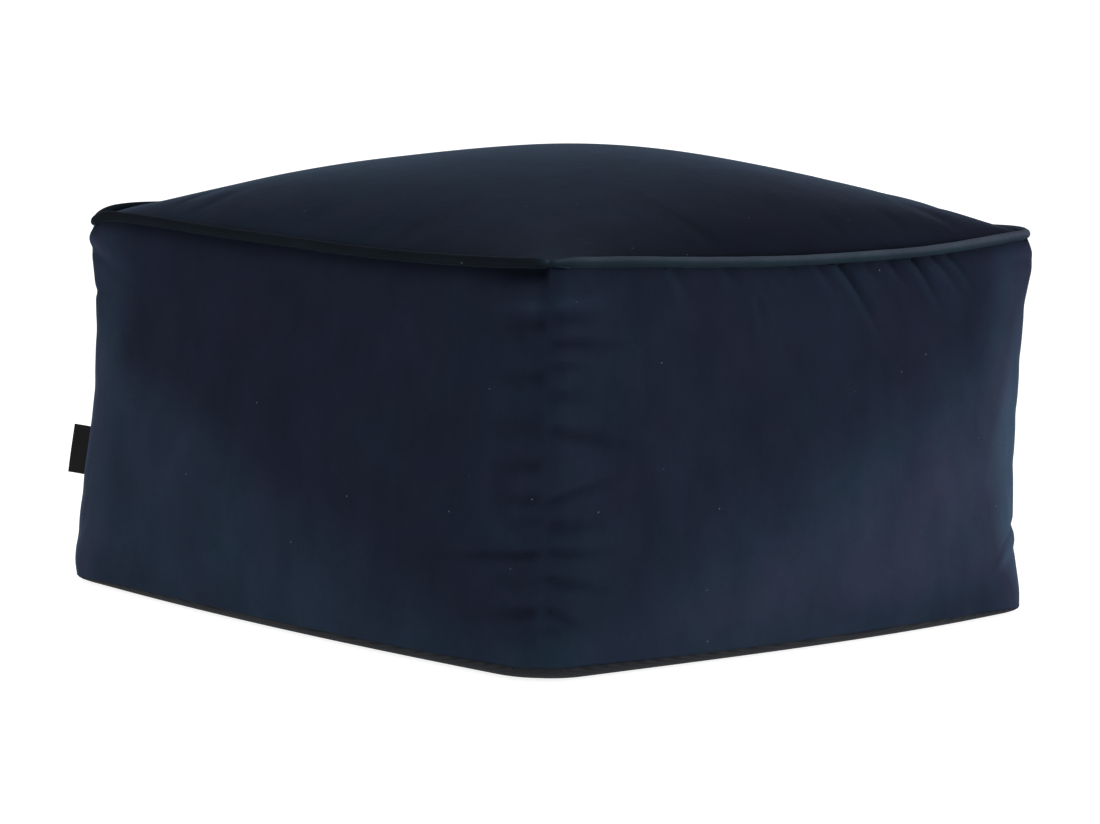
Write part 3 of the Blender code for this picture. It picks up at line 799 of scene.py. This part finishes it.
def paint_crown_tones(crown, dips):
    """The painted light and the painted shade of the top panel."""
    u, v = (np.clip(crown[..., axis] / SIDE, -0.5, 0.5) + 0.5 for axis in (0, 1))
    to_edge = np.minimum(np.minimum(u, 1 - u), np.minimum(v, 1 - v))
    to_right = (u + v) / 2
    painted_light = 0.22 + 0.20 * eased(to_edge / 0.3) - 0.40 * eased((to_right - 0.48) / 0.3)
    painted_light -= 0.03 * eased((0.32 - to_right) / 0.2)
    # painted shade along the seams, in the folds and round the near corner
    painted_shade = 0.30 * np.exp(-((to_edge / 0.006) ** 2)) + np.clip(-dips / 0.006, 0, 0.3)
    by_near_corner = np.exp(-((np.hypot(1 - u, v) / 0.50) ** 2))
    return painted_light, painted_shade + 0.48 * np.exp(-((to_edge / 0.08) ** 2)) * by_near_corner


# %% Paint light and shade on the cover
count, around = len(velvet_cover.data.vertices), len(under[0])
wall_start = len(under) * around
groove_start = wall_start + len(wall) * around
painted_light, painted_shade = np.full(count, 0.2), np.zeros(count)
# flat painted shade on the underside and in the groove
painted_shade[:wall_start] = UNDERSIDE_SHADE
painted_light[wall_start:groove_start] = wall_painted[..., 0].ravel()
painted_shade[wall_start:groove_start] = wall_painted[..., 1].ravel()
painted_shade[groove_start : groove_start + len(groove) * around] = GROOVE_SHADE
crown_painted_light, crown_painted_shade = paint_crown_tones(crown, crown_dips)
painted_light[crown_number.ravel()] = crown_painted_light.ravel()
painted_shade[crown_number.ravel()] = crown_painted_shade.ravel()
write_painted_tones(velvet_cover, painted_light, painted_shade)
on_average = [round(float(values.mean()), 2) for values in (painted_light, painted_shade)]
print("brushed and tucked, on average:", on_average)

# %% [markdown]
# The piping is a cord in a strip of the same velvet, sewn into the top seam. It could be a curve
# with a round bevel. Here it is a tube made point by point, because it isn't even: it swells and
# thins a little, it is pinched where the strip is snipped to turn each corner, and its painted light
# and shade need a tone for each place round the cord.

# %% Make a tube along a line
PIPING_AROUND = 20


def tube(name, line, radii, sides):
    """A closed ring of tube along a closed line of points."""
    count = len(line)
    forward = np.roll(line, -1, axis=0) - np.roll(line, 1, axis=0)
    forward /= np.linalg.norm(forward, axis=1, keepdims=True)
    upright = np.array([0.0, 0.0, 1.0])
    outward = np.cross(forward, upright)
    outward /= np.linalg.norm(outward, axis=1, keepdims=True)
    above = np.cross(outward, forward)
    turn = 2 * math.pi * np.arange(sides) / sides
    points = (
        line[:, None]
        + outward[:, None] * (np.cos(turn) * radii)[..., None]
        + above[:, None] * (np.sin(turn) * radii)[..., None]
    )
    faces = []
    for ring in range(count):
        here, ahead = ring * sides, (ring + 1) % count * sides
        for side in range(sides):
            after = (side + 1) % sides
            faces.append((here + side, ahead + side, ahead + after, here + after))
    return sewn_piece(name, points.reshape(-1, 3).tolist(), faces)


# %% Lay the cord in the seam
# how much of the cord is pinched away at the left, near, right and far corners, and over what reach
PINCHES = ((0.34, 0.010), (0.0, 0.010), (0.22, 0.009), (0.12, 0.007))
NOTCH = 0.42

piping_line = seam_points(all_columns(8, 70, 70), 0.0, 0.0)
around = len(piping_line)
steps_apart = np.linalg.norm(np.diff(piping_line, axis=0), axis=1)
gone = np.concatenate([[0], np.cumsum(steps_apart)])
total = gone[-1] + np.linalg.norm(piping_line[0] - piping_line[-1])
from_near = gone - gone[around // 4]
uneven = 1 + 0.022 * np.sin(gone * 75) * np.sin(gone * 27 + 1) + 0.014 * np.sin(gone * 190 + 2)
pinched = np.ones(around)
for corner, (amount, reach) in enumerate(PINCHES):
    away = np.abs((gone - gone[corner * around // 4] + total / 2) % total - total / 2)
    pinched -= amount * np.exp(-((away / reach) ** 2))
# at the near corner the strip is cut in: a long notch on the right side, a short one on the front
pinched -= NOTCH * np.exp(-((from_near / np.where(from_near > 0, 0.011, 0.004)) ** 2))
piping_line[:, 2] -= 0.0010 * np.exp(-((from_near / 0.008) ** 2))
radii = (PIPING_RADIUS * uneven * pinched)[:, None] * np.ones(PIPING_AROUND)
piping = tube("pouf_piping", piping_line, radii, PIPING_AROUND)
print("piping length, m:", round(float(total), 2))

# %% [markdown]
# Light and shade are painted on the piping. Along the right side and the back it is painted lighter,
# with a painted highlight on its top. Along the front and the left side the pile of the strip runs
# the other way, and its sheen is painted dark there. Its underside gets painted shade all round. So
# the painted tone is worked out along the cord and round it.

# %% Paint light and shade on the piping
run = np.arange(around) // (around // 4)
on_right = np.clip(from_near / SIDE, 0, 1) * (run == 1)
painted_low_tones = np.array([-0.12, 0.20, 0.24, -0.12])[run] + 0.26 * on_right
painted_top_highlight = np.array([-0.02, 0.54, 0.46, 0.20])[run] - 0.06 * on_right
for _ in range(3):
    painted_low_tones = (painted_low_tones + np.roll(painted_low_tones, 1) + np.roll(painted_low_tones, -1)) / 3
    painted_top_highlight = (painted_top_highlight + np.roll(painted_top_highlight, 1) + np.roll(painted_top_highlight, -1)) / 3
# painted highlights on the tip at the near corner and on the drooping left corner
painted_top_highlight += 0.6 * np.where(from_near < 0, np.exp(-((from_near / 0.012) ** 2)), 0.0)
from_left = np.minimum(gone, total - gone)
painted_top_highlight += 0.34 * np.exp(-((from_left / 0.022) ** 2))
# painted highlight on the cord's top, painted shade on its underside
facing_up = np.sin(2 * math.pi * np.arange(PIPING_AROUND) / PIPING_AROUND)
lit = eased((facing_up + 0.9) / 1.75) ** 1.5
painted_tones = painted_low_tones[:, None] + painted_top_highlight[:, None] * lit[None, :]
write_painted_tones(piping, painted_tones.ravel(), np.zeros(painted_tones.size))
print("piping brushed from", round(float(painted_tones.min()), 2), "to", round(float(painted_tones.max()), 2))

# %% [markdown]
# The base is another cloth, dark grey and woven, flat on the floor and turned up a few millimetres
# to meet the velvet. A thin closed sheet: its outer side, and its inner side a cloth's thickness
# in.

# %% Make the base panel
FAN_SHARES = (0.08, 0.3, 0.6, 0.85, 0.97)
TURN_UPS = (0, 15, 30, 45, 60, 75, 90)
BASE_THICKNESS = 0.0016


def base_rings(steps, inset):
    """One side of the base cloth as rings: a fan over the flat part, then the turned-up edge."""
    fan = [base_points(steps, 0.0, inset) * np.array([share, share, 1]) for share in FAN_SHARES]
    return fan + [base_points(steps, math.radians(turn), inset) for turn in TURN_UPS]


rings = base_rings(all_columns(6, 40, 40), 0.0)
rings += base_rings(all_columns(6, 40, 40), BASE_THICKNESS)[::-1]
around = len(rings[0])
faces = [tuple(range(around - 1, -1, -1)), *between_rings(len(rings), around)]
faces.append(tuple((len(rings) - 1) * around + step for step in range(around)))
base = sewn_piece("pouf_base", np.concatenate(rings).tolist(), faces)

# %% [markdown]
# The label is a short piece of black ribbon, folded in half, with both ends caught in the corner
# seam. It is one strip that runs out, turns at its fold and comes back.

# %% Make the label
LABEL_LENGTH, LABEL_REACH = 0.037, 0.0125
LABEL_MIDDLE = 0.0990
LABEL_IN_SEAM = 0.003
LABEL_STAND = 0.0006
LABEL_RISE = math.tan(math.radians(9))
RIBBON_THICKNESS, RIBBON_FOLD = 0.00040, 0.00036
RIBBON_ROWS = 13


def ribbon_path():
    """The ribbon seen from above, as pairs (out, aside): out, round its fold and back."""
    fold_start = LABEL_REACH - RIBBON_FOLD
    straight = np.linspace(-LABEL_IN_SEAM, fold_start, 9)
    path = [(out, -RIBBON_FOLD) for out in straight]
    for turn in np.linspace(0, math.pi, 7)[1:-1]:
        path.append((fold_start + RIBBON_FOLD * math.sin(turn), -RIBBON_FOLD * math.cos(turn)))
    path += [(out, RIBBON_FOLD) for out in straight[::-1]]
    return np.array(path)


def label_ribbon(path):
    """The folded ribbon, as a thin closed strip that follows the left corner seam."""
    outward = np.array([-1, -1, 0]) / math.sqrt(2)
    sideways = np.array([1, -1, 0]) / math.sqrt(2)
    direction = np.gradient(path, axis=0)
    direction /= np.linalg.norm(direction, axis=1, keepdims=True)
    normal = np.stack([direction[:, 1], -direction[:, 0]], axis=1) * RIBBON_THICKNESS / 2
    loop = np.concatenate([path + normal, (path - normal)[::-1]])
    seam = wall_points(all_columns(3, 20, 20), np.linspace(0, 1, 200))[0][:, 0]
    points = []
    for row in range(RIBBON_ROWS):
        height = LABEL_MIDDLE - (row / (RIBBON_ROWS - 1) - 0.5) * LABEL_LENGTH
        place = np.array([np.interp(height, seam[:, 2], seam[:, axis]) for axis in range(3)])
        place = place + outward * LABEL_STAND
        for out, aside in loop:
            reached = max(out, 0) / LABEL_REACH
            wave = math.sin(3.0 * row / RIBBON_ROWS + 60 * out)
            curl = 0.0015 * reached**2 + 0.0004 * wave * reached
            rise = np.array([0, 0, out * LABEL_RISE])
            points.append(tuple(place + outward * out + sideways * (aside + curl) + rise))
    size = len(loop)
    faces = []
    for row in range(RIBBON_ROWS - 1):
        for index in range(size):
            after = (index + 1) % size
            low, high = (row + 1) * size, row * size
            faces.append((low + index, low + after, high + after, high + index))
    for row, flip in ((0, False), (RIBBON_ROWS - 1, True)):
        for index in range(size // 2 - 1):
            quad = [row * size + k for k in (index, index + 1, size - 2 - index, size - 1 - index)]
            faces.append(tuple(quad[::-1] if flip else quad))
    made = sewn_piece("pouf_label", points, faces)
    shaper = bmesh.new()
    shaper.from_mesh(made.data)
    bmesh.ops.recalc_face_normals(shaper, faces=shaper.faces)
    shaper.to_mesh(made.data)
    shaper.free()
    made.data.set_sharp_from_angle(angle=math.radians(60))
    return made


label_path = ribbon_path()
label = label_ribbon(label_path)

# %% [markdown]
# Each cloth is a Principled shader with a few nodes before it. These helpers make them: noise in
# the piece's own coordinates, so that it has a real size and stays on the cloth, a ramp from a
# number to a colour, and a bump.

# %% Nodes of a cloth
def node(tree, kind, **inputs):
    """A new node with its inputs set by name."""
    made = tree.nodes.new(kind)
    for name, value in inputs.items():
        made.inputs[name.replace("_", " ")].default_value = value
    return made


def new_material(name, roughness):
    material = bpy.data.materials.new(name)
    material.use_nodes = True
    shader = material.node_tree.nodes["Principled BSDF"]
    shader.inputs["Roughness"].default_value = roughness
    return material, material.node_tree, shader


def noise(tree, coordinates, scale, detail, roughness=0.5, stretch=(1, 1, 1)):
    """Noise in the piece's own coordinates; scale counts its features in a metre."""
    mapping = node(tree, "ShaderNodeMapping", Scale=stretch)
    made = node(tree, "ShaderNodeTexNoise", Scale=scale, Detail=detail, Roughness=roughness)
    tree.links.new(coordinates, mapping.inputs["Vector"])
    tree.links.new(mapping.outputs["Vector"], made.inputs["Vector"])
    return made.outputs["Fac"]


def ramp(tree, value, stops):
    made = tree.nodes.new("ShaderNodeValToRGB")
    while len(made.color_ramp.elements) < len(stops):
        made.color_ramp.elements.new(0.5)
    for element, (place, colour) in zip(made.color_ramp.elements, stops):
        element.position = place
        element.color = (*colour, 1)
    tree.links.new(value, made.inputs["Fac"])
    return made.outputs["Color"]


def blend_colours(tree, share, first, second, kind="MIX"):
    made = tree.nodes.new("ShaderNodeMix")
    made.data_type = "RGBA"
    made.blend_type = kind
    colour_sockets = [socket for socket in made.inputs if socket.type == "RGBA"]
    if isinstance(share, float):
        made.inputs["Factor"].default_value = share
    else:
        tree.links.new(share, made.inputs["Factor"])
    tree.links.new(first, colour_sockets[0])
    tree.links.new(second, colour_sockets[1])
    return next(socket for socket in made.outputs if socket.type == "RGBA")


def bump(tree, height, strength, distance, below=None):
    made = node(tree, "ShaderNodeBump", Strength=strength, Distance=distance)
    tree.links.new(height, made.inputs["Height"])
    if below is not None:
        tree.links.new(below, made.inputs["Normal"])
    return made.outputs["Normal"]


def written(tree, name):
    """A number that was written on each vertex."""
    made = tree.nodes.new("ShaderNodeAttribute")
    made.attribute_name = name
    return made.outputs["Fac"]


def sum_of(tree, first, second, share):
    """The first number, with a share of the second added."""
    made = tree.nodes.new("ShaderNodeMath")
    made.operation = "MULTIPLY_ADD"
    tree.links.new(second, made.inputs[0])
    made.inputs[1].default_value = share
    tree.links.new(first, made.inputs[2])
    return made.outputs["Value"]


# %% [markdown]
# Velvet is a cut pile. Looked at straight on it swallows light, and at a glancing angle the tips of
# the pile catch it. In Blender that is the sheen of the Principled shader over a dark, rough base.
# The base colour is a ramp of navies, from painted shade to painted light, that reads the painted
# light written on each vertex, with large soft clouds of random tone added, so that no edge of it is
# clean. Over it come finer strokes, a slow drift between a warmer and a cooler navy, the grain of
# the pile, the painted shade in folds and under the piping, and a few specks of lint. The sheen is
# one number for the whole cloth.

# %% Velvet
PAINTED_LIGHT_STOPS = (0.08, 0.50, 0.80, 1.0)


def velvet(name, navies, sheen, sheen_tint):
    """A velvet with four navies, from painted shade to painted light."""
    material, tree, shader = new_material(name, 0.82)
    coordinates = tree.nodes.new("ShaderNodeTexCoord").outputs["Object"]
    clouds = noise(tree, coordinates, 5.0, 3.0, 0.55)
    stroked = noise(tree, coordinates, 26.0, 4.0, 0.62, (1.0, 1.0, 0.6))
    drifted = noise(tree, coordinates, 15.0, 3.0, 0.6, (1.0, 1.0, 0.8))
    pile = noise(tree, coordinates, 1100.0, 2.0, 0.6)
    # the painted light, with clouds of random tone added
    light_and_tone = sum_of(tree, written(tree, "painted_light"), clouds, 0.28)
    tone = ramp(tree, light_and_tone, tuple(zip(PAINTED_LIGHT_STOPS, navies)))
    strokes = ramp(tree, stroked, ((0.25, (0.78, 0.80, 0.82)), (0.75, (1.16, 1.15, 1.13))))
    drift = ramp(tree, drifted, ((0.35, (1.07, 0.96, 1.0)), (0.65, (0.94, 1.04, 1.0))))
    grain = ramp(tree, pile, ((0.20, (0.80, 0.80, 0.80)), (0.80, (1.18, 1.18, 1.18))))
    # painted shade in folds, under the piping, in the groove and on the underside
    shade_tone = ramp(tree, written(tree, "painted_shade"), ((0.0, (1.0, 1.0, 1.0)), (1.0, (0.23, 0.23, 0.25))))
    for change in (strokes, drift, grain, shade_tone):
        tone = blend_colours(tree, 1.0, tone, change, "MULTIPLY")
    lint = node(tree, "ShaderNodeTexVoronoi", Scale=44.0)
    tree.links.new(coordinates, lint.inputs["Vector"])
    speck_stops = (0.018, (0.060, 0.063, 0.070)), (0.033, (0, 0, 0))
    specks = ramp(tree, lint.outputs["Distance"], speck_stops)
    tone = blend_colours(tree, 1.0, tone, specks, "ADD")
    tree.links.new(tone, shader.inputs["Base Color"])
    shader.inputs["Sheen Weight"].default_value = sheen
    shader.inputs["Sheen Roughness"].default_value = 0.22
    shader.inputs["Sheen Tint"].default_value = (*sheen_tint, 1)
    shader.inputs["Specular IOR Level"].default_value = 0.02
    rim_sheen_and_stroke_bump = bump(tree, stroked, 0.30, 0.002)
    tree.links.new(bump(tree, pile, 0.35, 0.0004, rim_sheen_and_stroke_bump), shader.inputs["Normal"])
    return material


# %% The two velvets
# from painted shade to painted light; the last navy is the painted sheen of the far seams
COVER_NAVIES = (
    (0.0069, 0.0086, 0.0179),
    (0.0105, 0.0174, 0.0310),
    (0.0168, 0.0221, 0.0394),
    (0.0290, 0.0470, 0.0770),
)
# from the piping's painted shade to its painted highlight
PIPING_NAVIES = (
    (0.0044, 0.0063, 0.0088),
    (0.0105, 0.0180, 0.0265),
    (0.0380, 0.0480, 0.0670),
    (0.0440, 0.0550, 0.0760),
)
cover_velvet = velvet("navy_velvet", COVER_NAVIES, 0.13, (0.42, 0.66, 1.0))
piping_velvet = velvet("piping_velvet", PIPING_NAVIES, 0.10, (0.45, 0.66, 0.9))
print("velvet nodes:", len(cover_velvet.node_tree.nodes))

# %% [markdown]
# The base cloth is a plain weave, and the ribbon a fine ribbed satin. Both are made of crossed
# waves, in the piece's own coordinates, so that the threads have their real size. On the ribbon one
# set of waves runs up and the other slants, because it stands at an angle to both level axes.

# %% Woven cloth
WAVES_IN_A_METRE = 3.1831  # of a wave texture whose scale is 1


def threads(tree, coordinates, scale, direction):
    made = node(tree, "ShaderNodeTexWave", Scale=scale, Distortion=0.6)
    made.wave_type = "BANDS"
    made.bands_direction = direction
    tree.links.new(coordinates, made.inputs["Vector"])
    return made.outputs["Fac"]


def woven(name, dark, light, spacing, roughness, specular, across="X", along="Y"):
    """A woven cloth, from the colour between its threads to the colour on them."""
    material, tree, shader = new_material(name, roughness)
    coordinates = tree.nodes.new("ShaderNodeTexCoord").outputs["Object"]
    scale = 1 / spacing / WAVES_IN_A_METRE
    warp = threads(tree, coordinates, scale, across)
    weft = threads(tree, coordinates, scale, along)
    both = tree.nodes.new("ShaderNodeMath")
    both.operation = "MULTIPLY"
    tree.links.new(warp, both.inputs[0])
    tree.links.new(weft, both.inputs[1])
    worn = noise(tree, coordinates, 30.0, 3.0)
    tone = ramp(tree, both.outputs["Value"], ((0.0, dark), (0.8, light)))
    shade = ramp(tree, worn, ((0.3, (0.85, 0.85, 0.85)), (0.7, (1.1, 1.1, 1.1))))
    tree.links.new(blend_colours(tree, 1.0, tone, shade, "MULTIPLY"), shader.inputs["Base Color"])
    tree.links.new(bump(tree, both.outputs["Value"], 0.5, 0.0003), shader.inputs["Normal"])
    shader.inputs["Sheen Weight"].default_value = 0.03
    shader.inputs["Specular IOR Level"].default_value = specular
    return material


# %% Base cloth and ribbon
BASE_GREYS = (0.0095, 0.0108, 0.0130), (0.0205, 0.0225, 0.0268)
RIBBON_BLACKS = (0.006, 0.0056, 0.0063), (0.013, 0.0122, 0.0138)
base_cloth = woven("base_cloth", *BASE_GREYS, 0.0011, 0.9, 0.04)
ribbon = woven("label_ribbon", *RIBBON_BLACKS, 0.0007, 0.6, 0.10, "Z", "DIAGONAL")
CLOTHS = (
    (velvet_cover, cover_velvet),
    (piping, piping_velvet),
    (base, base_cloth),
    (label, ribbon),
)
for piece, material in CLOTHS:
    piece.data.materials.append(material)
    print(piece.name, "is made of", material.name)

# %% [markdown]
# Plain soft studio light: a broad light low on each side, so that each side of the pouf is lit from
# its own end and the near corner between them stays darker, and a wide one high above for the top.

# %% Soft lights
def soft_light(name, place, aim, width, height, power):
    data = bpy.data.lights.new(name, "AREA")
    data.shape = "RECTANGLE"
    data.size, data.size_y, data.energy = width, height, power
    made = bpy.data.objects.new(name, data)
    made.location = place
    made.rotation_mode = "QUATERNION"
    made.rotation_quaternion = (Vector(aim) - Vector(place)).to_track_quat("-Z", "Y")
    made.visible_camera = False
    bpy.context.scene.collection.objects.link(made)
    return made


toward = Vector((math.sin(TURN), -math.cos(TURN), 0))
beside = Vector((math.cos(TURN), math.sin(TURN), 0))
middle = Vector((0, 0, 0.15))
low_in_front = toward * 0.55 + Vector((0, 0, 0.22))
soft_light("light_right", low_in_front + beside * 0.95, middle + beside * 0.25, 0.5, 0.4, 4.5)
soft_light("light_left", low_in_front - beside * 0.95, middle - beside * 0.25, 0.5, 0.4, 2.5)
soft_light("light_above", Vector((0, 0, 1.9)) - toward * 0.3, middle, 1.2, 1.2, 8)
print("lights, W:", [data.energy for data in bpy.data.lights if data.name.startswith("light_")])

# %% [markdown]
# The picture has a white ground right up to the pouf and next to no shadow. A pale floor that is
# only lit would be grey beside a dark pouf, so this one also glows. It throws light back on the
# lower half of the sides. It isn't part of the pouf.

# %% Pale floor
FLOOR_REACH, FLOOR_LEVEL = 30, -0.0006
FLOOR_GLOW = 0.85

floor_corners = [(FLOOR_REACH * x, FLOOR_REACH * y, FLOOR_LEVEL) for x, y in CORNER_SIDES]
floor_mesh = bpy.data.meshes.new("studio_floor")
floor_mesh.from_pydata(floor_corners, [], [(0, 1, 2, 3)])
floor = bpy.data.objects.new("studio_floor", floor_mesh)
bpy.context.scene.collection.objects.link(floor)
floor_paint, _, floor_shader = new_material("pale_floor", 0.9)
floor_shader.inputs["Base Color"].default_value = (0.45, 0.45, 0.45, 1)
floor_shader.inputs["Emission Color"].default_value = (1, 1, 1, 1)
floor_shader.inputs["Emission Strength"].default_value = FLOOR_GLOW
floor_mesh.materials.append(floor_paint)

world = bpy.data.worlds.new("studio")
world.use_nodes = True
world.node_tree.nodes["Background"].inputs["Color"].default_value = (1, 1, 1, 1)
world.node_tree.nodes["Background"].inputs["Strength"].default_value = 0.7
bpy.context.scene.world = world
bpy.context.scene.view_settings.view_transform = "Standard"
print("floor glow:", FLOOR_GLOW)

# %% [markdown]
# Last, each piece rides on the pouf's one body, because nothing on a pouf moves, and the solid of
# the imported model that it stands for is hidden. The cover is padded and well filled. The base
# panel and the ribbon are sheets.

# %% Attach the pieces
for piece, cad_node, slot_name in (
    (velvet_cover, "velvet_cover", "velvet"),
    (piping, "top_piping", "piping_velvet"),
    (base, "base_panel", "base_cloth"),
    (label, "side_label", "label_ribbon"),
):
    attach(piece, "root")
    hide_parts(cad_node)
